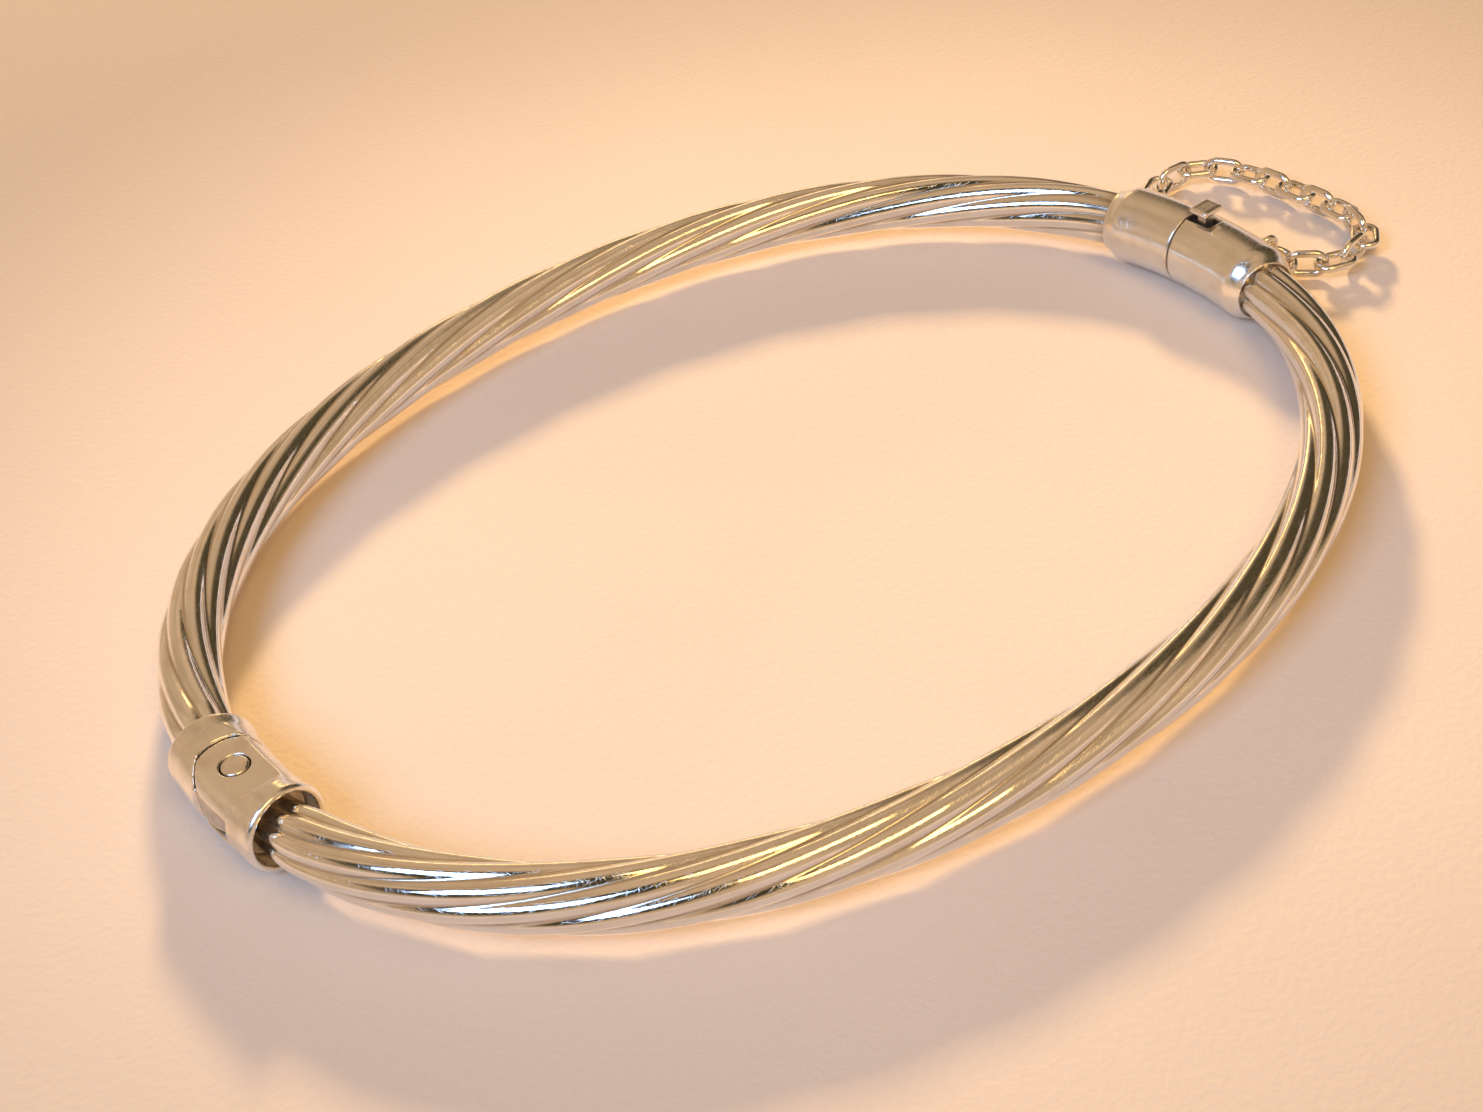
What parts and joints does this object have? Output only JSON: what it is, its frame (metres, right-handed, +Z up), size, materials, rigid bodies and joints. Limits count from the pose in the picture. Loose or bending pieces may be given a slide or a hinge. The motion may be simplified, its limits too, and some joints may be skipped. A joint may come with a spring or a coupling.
{
  "type": "bangle bracelet",
  "caption": "Oval hinged bangle of twisted fluted silver tube with riveted hinge, snap clasp with thumb button and short safety chain",
  "frame": {"origin": "centre of the bounding box in X and Y, on the underside the bangle lies on", "axes": "+X runs from the hinge to the clasp, +Y from the front half to the back half that opens, +Z up through the wrist opening"},
  "size_m": [0.0762, 0.0528, 0.0052],
  "materials": {
    "tube": "bright polished fluted silver with fine wear scratches",
    "fittings": "polished silver, lightly scratched",
    "chain": "polished silver wire, slightly tarnished in the bends",
    "spring": "hard rolled silver strip, matt"
  },
  "bodies": {
    "front_half": {"front_tube": "tube", "hinge_fork_sleeve": "fittings", "hinge_rivet": "fittings", "box_sleeve": "fittings", "box_mouth_plate": "fittings", "front_chain_eye": "chain"},
    "back_half": {"back_tube": "tube", "hinge_knuckle_sleeve": "fittings", "tongue_sleeve": "fittings", "tongue_leaf": "spring", "back_chain_eye": "chain"},
    "snap_tongue": {"snap_leaf": "spring", "thumb_button": "fittings"},
    "chain_ring_front": {"chain_ring_front": "chain"},
    "chain_link_01": {"chain_link_01": "chain"},
    "chain_link_02": {"chain_link_02": "chain"},
    "chain_link_03": {"chain_link_03": "chain"},
    "chain_link_04": {"chain_link_04": "chain"},
    "chain_link_05": {"chain_link_05": "chain"},
    "chain_link_06": {"chain_link_06": "chain"},
    "chain_link_07": {"chain_link_07": "chain"},
    "chain_link_08": {"chain_link_08": "chain"},
    "chain_link_09": {"chain_link_09": "chain"},
    "chain_link_10": {"chain_link_10": "chain"},
    "chain_link_11": {"chain_link_11": "chain"},
    "chain_link_12": {"chain_link_12": "chain"},
    "chain_link_13": {"chain_link_13": "chain"},
    "chain_link_14": {"chain_link_14": "chain"},
    "chain_link_15": {"chain_link_15": "chain"},
    "chain_ring_back": {"chain_ring_back": "chain"}
  },
  "joints": [
    {"name": "hinge_open", "type": "hinge", "parent": "front_half", "child": "back_half", "pos_m": [-0.03594, 0, 0.0022], "axis": [0, 0, 1], "range_deg": [0, 12]},
    {"name": "thumb_press", "type": "hinge", "parent": "back_half", "child": "snap_tongue", "pos_m": [0.02706, -0.0033, 0.00187], "axis": [-1, 0, 0], "range_deg": [0, 8], "stiffness_Nm_per_rad": 0.02},
    {"name": "ring_front_swing", "type": "hinge", "parent": "front_half", "child": "chain_ring_front", "pos_m": [0.03015, -0.00342, 0.00095], "axis": [0, 0, 1], "range_deg": [-0.5, 83.17]},
    {"name": "link_01_swing", "type": "hinge", "parent": "chain_ring_front", "child": "chain_link_01", "pos_m": [0.03032, -0.00366, 0.00095], "axis": [0, 0, 1], "range_deg": [-4.07, 0.5]},
    {"name": "link_02_swing", "type": "hinge", "parent": "chain_link_01", "child": "chain_link_02", "pos_m": [0.03222, -0.00571, 0.00095], "axis": [0, 0, 1], "range_deg": [-10.91, 0.5]},
    {"name": "link_03_swing", "type": "hinge", "parent": "chain_link_02", "child": "chain_link_03", "pos_m": [0.03305, -0.00606, 0.00095], "axis": [0, 0, 1], "range_deg": [-13.92, 0.5]},
    {"name": "link_04_swing", "type": "hinge", "parent": "chain_link_03", "child": "chain_link_04", "pos_m": [0.0355, -0.00567, 0.00095], "axis": [0, 0, 1], "range_deg": [-16.83, 0.5]},
    {"name": "link_05_swing", "type": "hinge", "parent": "chain_link_04", "child": "chain_link_05", "pos_m": [0.03618, -0.00508, 0.00095], "axis": [0, 0, 1], "range_deg": [-16.92, 0.5]},
    {"name": "link_06_swing", "type": "hinge", "parent": "chain_link_05", "child": "chain_link_06", "pos_m": [0.03715, -0.0028, 0.00095], "axis": [0, 0, 1], "range_deg": [-12.09, 0.5]},
    {"name": "link_07_swing", "type": "hinge", "parent": "chain_link_06", "child": "chain_link_07", "pos_m": [0.03725, -0.00191, 0.00095], "axis": [0, 0, 1], "range_deg": [-5.58, 0.5]},
    {"name": "link_08_swing", "type": "hinge", "parent": "chain_link_07", "child": "chain_link_08", "pos_m": [0.03723, 0.00057, 0.00095], "axis": [0, 0, 1], "range_deg": [-1.41, 0.5]},
    {"name": "ring_back_swing", "type": "hinge", "parent": "back_half", "child": "chain_ring_back", "pos_m": [0.02988, 0.00501, 0.00095], "axis": [0, 0, 1], "range_deg": [-82.61, 0.5]},
    {"name": "link_15_swing", "type": "hinge", "parent": "chain_ring_back", "child": "chain_link_15", "pos_m": [0.03004, 0.00527, 0.00095], "axis": [0, 0, 1], "range_deg": [-0.5, 3.95]},
    {"name": "link_14_swing", "type": "hinge", "parent": "chain_link_15", "child": "chain_link_14", "pos_m": [0.03181, 0.00743, 0.00095], "axis": [0, 0, 1], "range_deg": [-0.5, 10.48]},
    {"name": "link_13_swing", "type": "hinge", "parent": "chain_link_14", "child": "chain_link_13", "pos_m": [0.03262, 0.00783, 0.00095], "axis": [0, 0, 1], "range_deg": [-0.5, 13.25]},
    {"name": "link_12_swing", "type": "hinge", "parent": "chain_link_13", "child": "chain_link_12", "pos_m": [0.03509, 0.0076, 0.00095], "axis": [0, 0, 1], "range_deg": [-0.5, 16.07]},
    {"name": "link_11_swing", "type": "hinge", "parent": "chain_link_12", "child": "chain_link_11", "pos_m": [0.0358, 0.00705, 0.00095], "axis": [0, 0, 1], "range_deg": [-0.5, 16.42]},
    {"name": "link_10_swing", "type": "hinge", "parent": "chain_link_11", "child": "chain_link_10", "pos_m": [0.03692, 0.00483, 0.00095], "axis": [0, 0, 1], "range_deg": [-0.5, 11.93]},
    {"name": "link_09_swing", "type": "hinge", "parent": "chain_link_10", "child": "chain_link_09", "pos_m": [0.03707, 0.00395, 0.00095], "axis": [0, 0, 1], "range_deg": [-0.5, 5.55]}
  ],
  "couplings": [
    {"joint": "ring_front_swing", "follows": "hinge_open", "ratio": 6.889},
    {"joint": "link_01_swing", "follows": "hinge_open", "ratio": -0.2976},
    {"joint": "link_02_swing", "follows": "hinge_open", "ratio": -0.8677},
    {"joint": "link_03_swing", "follows": "hinge_open", "ratio": -1.1184},
    {"joint": "link_04_swing", "follows": "hinge_open", "ratio": -1.3611},
    {"joint": "link_05_swing", "follows": "hinge_open", "ratio": -1.3682},
    {"joint": "link_06_swing", "follows": "hinge_open", "ratio": -0.9656},
    {"joint": "link_07_swing", "follows": "hinge_open", "ratio": -0.4229},
    {"joint": "link_08_swing", "follows": "hinge_open", "ratio": -0.0755},
    {"joint": "ring_back_swing", "follows": "hinge_open", "ratio": -6.8426},
    {"joint": "link_15_swing", "follows": "hinge_open", "ratio": 0.2873},
    {"joint": "link_14_swing", "follows": "hinge_open", "ratio": 0.8319},
    {"joint": "link_13_swing", "follows": "hinge_open", "ratio": 1.0627},
    {"joint": "link_12_swing", "follows": "hinge_open", "ratio": 1.2977},
    {"joint": "link_11_swing", "follows": "hinge_open", "ratio": 1.3263},
    {"joint": "link_10_swing", "follows": "hinge_open", "ratio": 0.9521},
    {"joint": "link_09_swing", "follows": "hinge_open", "ratio": 0.4212}
  ]
}
